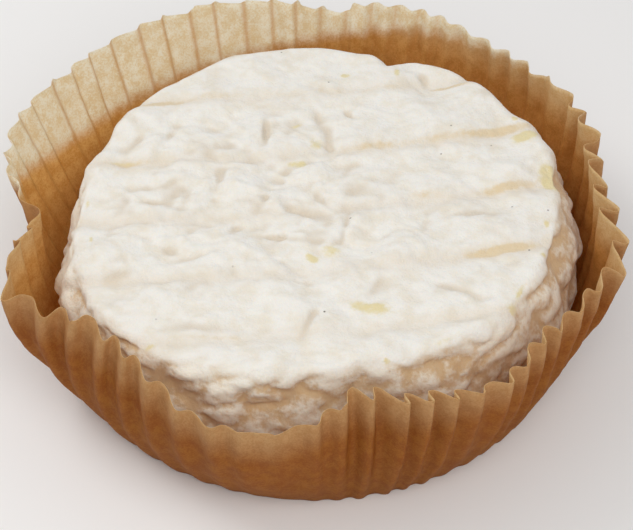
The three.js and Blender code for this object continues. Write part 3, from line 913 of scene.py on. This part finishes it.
def greaseproof_paper():
    """Brown greaseproof paper, rolled: matt, a little translucent, clouded at 1 to 3 mm, fibres 0.5 mm."""
    material, tree, output = blank_material("greaseproof_paper_rolled")
    place = add(tree, "TexCoord").outputs["Object"]
    clouds = grain(tree, place, 3.2, Detail=5, Roughness=0.65)
    fibres = grain(tree, place, 0.5, Detail=3, Roughness=0.7)
    cloudy = soft_step(tree, reckon(tree, "ADD", clouds, fibres), CLOUD_FROM, CLOUD_FULL)
    outside = mark(tree, "outside")

    # The border of the painted shadow, moved by the clouds.
    above = reckon(tree, "MULTIPLY_ADD", clouds, BORDER_SPREAD, -BORDER_SPREAD / 2)
    above = reckon(tree, "ADD", above, mark(tree, "above_shadow_line"))
    above_shadow_line = soft_step(tree, above, BACKLIT_FROM, BACKLIT_FULL)

    # The lower paper: a painted shadow, with painted light, painted shade and a painted highlight laid over
    # it.
    shaded_tone = blend(tree, cloudy, *SHADOWED_PAPER)
    # Painted light brightens the shadow just below the border and on the left.
    shaded_tone = blend(tree, mark(tree, "painted_light"), shaded_tone, blend(tree, cloudy, *PAINTED_LIGHT_PAPER))
    # Painted shade on the outer face of the lower paper.
    shaded_tone = blend(tree, outside, shaded_tone, blend(tree, cloudy, *SHADED_OUTER_PAPER))
    # Painted highlight at the rim, weaker on the outer face.
    most = add(tree, "MapRange", {0: outside, 3: RIM_LIGHT_INSIDE, 4: RIM_LIGHT_OUTSIDE}).outputs[0]
    rim_light = reckon(tree, "MULTIPLY", mark(tree, "rim_light"), most)
    shaded_tone = blend(tree, rim_light, shaded_tone, blend(tree, cloudy, *RIM_LIGHT_PAPER))
    tone = blend(tree, above_shadow_line, shaded_tone, blend(tree, cloudy, *BACKLIT_PAPER))
    # Painted shade where the sheet lies in three layers.
    tone = blend(tree, reckon(tree, "MULTIPLY", mark(tree, "lap_shade"), LAP_SHADE_STRENGTH), tone, LAP_SHADE_PAPER)

    bump = add(tree, "Bump", {"Height": fibres, "Distance": FIBRE_BUMP * MM, "Strength": 0.5})
    face = add(
        tree,
        "BsdfPrincipled",
        {
            "Base Color": tone,
            "Roughness": 0.62,
            "IOR": 1.45,
            "Specular IOR Level": 0.3,
            "Normal": bump.outputs[0],
        },
    )
    through = add(tree, "BsdfTranslucent", {"Color": tone, "Normal": bump.outputs[0]})
    shader = add(tree, "MixShader", {0: LETS_THROUGH, 1: face.outputs[0], 2: through.outputs[0]})
    tree.links.new(shader.outputs[0], output.inputs["Surface"])
    return material


paper.data.materials.append(greaseproof_paper())
print("case wears", paper.data.materials[0].name)

# %% [markdown]
# Both pieces stand for their solids and take their places in the frame.

# %% Join the frame
for piece, node, slot in ((cheese, "cheese", "rind"), (paper, "paper_case", "paper")):
    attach(piece, "root")
    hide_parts(node)
print("pieces:", [piece.name for piece in (cheese, paper)])

# %% [markdown]
# The photograph looks down on the cheese at 44 degrees from half a metre, in soft daylight. A pale
# floor, an even sky and two wide lamps do the same: one from the left and a little behind, like a
# window, and a wider one from the front, like light thrown back by a wall.

# %% Floor
FLOOR_HALF = 2.0
floor_mesh = bpy.data.meshes.new("floor")
corners = [(-1, -1, 0), (1, -1, 0), (1, 1, 0), (-1, 1, 0)]
floor_mesh.from_pydata([Vector(c) * FLOOR_HALF for c in corners], [], [(0, 1, 2, 3)])
floor = bpy.data.objects.new("floor", floor_mesh)
bpy.context.scene.collection.objects.link(floor)
floor_paint, floor_tree, floor_output = blank_material("pale_matt_paint_rolled")
floor_shader = add(floor_tree, "BsdfPrincipled", {"Base Color": linear("#F4F2EF"), "Roughness": 0.9})
floor_tree.links.new(floor_shader.outputs[0], floor_output.inputs["Surface"])
floor_mesh.materials.append(floor_paint)

# %% Light
world = bpy.data.worlds.new("even_sky")
world.use_nodes = True
sky = world.node_tree.nodes["Background"].inputs
sky["Color"].default_value = linear("#FBFCFF")
sky["Strength"].default_value = 0.54
bpy.context.scene.world = world
LIT_POINT = Vector((0, 0, 0.02))  # the middle of the cheese


def soft_lamp(name, position, size, watts, hex_colour):
    """A square lamp that faces the cheese."""
    lamp = bpy.data.lights.new(name, "AREA")
    lamp.size = size
    lamp.energy = watts
    lamp.color = linear(hex_colour)[:3]
    holder = bpy.data.objects.new(name, lamp)
    holder.location = position
    holder.rotation_euler = (LIT_POINT - holder.location).to_track_quat("-Z", "Y").to_euler()
    bpy.context.scene.collection.objects.link(holder)


soft_lamp("window", (-0.5, 0.2, 0.6), 0.35, 1.7, "#FFFFFF")
soft_lamp("reflector", (0.15, -0.5, 0.6), 0.6, 2.4, "#FFFFFF")
bpy.context.scene.view_settings.view_transform = "Standard"

# %% Camera
IMAGE_WIDTH = 633
FOCAL_PIXELS = 1928
SENSOR = 36.0
camera_data = bpy.data.cameras.new("camera")
camera_data.sensor_width = SENSOR
camera_data.lens = FOCAL_PIXELS / IMAGE_WIDTH * SENSOR
camera_data.clip_start = 0.01
camera = bpy.data.objects.new("camera", camera_data)
LOOK_AT = Vector((0.0004, -0.00344, 0.020))
ELEVATION = math.radians(43.98)
DISTANCE = 0.5
camera.location = LOOK_AT + DISTANCE * Vector((0, -math.cos(ELEVATION), math.sin(ELEVATION)))
camera.rotation_euler = (math.pi / 2 - ELEVATION, 0, 0)
bpy.context.scene.collection.objects.link(camera)
bpy.context.scene.camera = camera
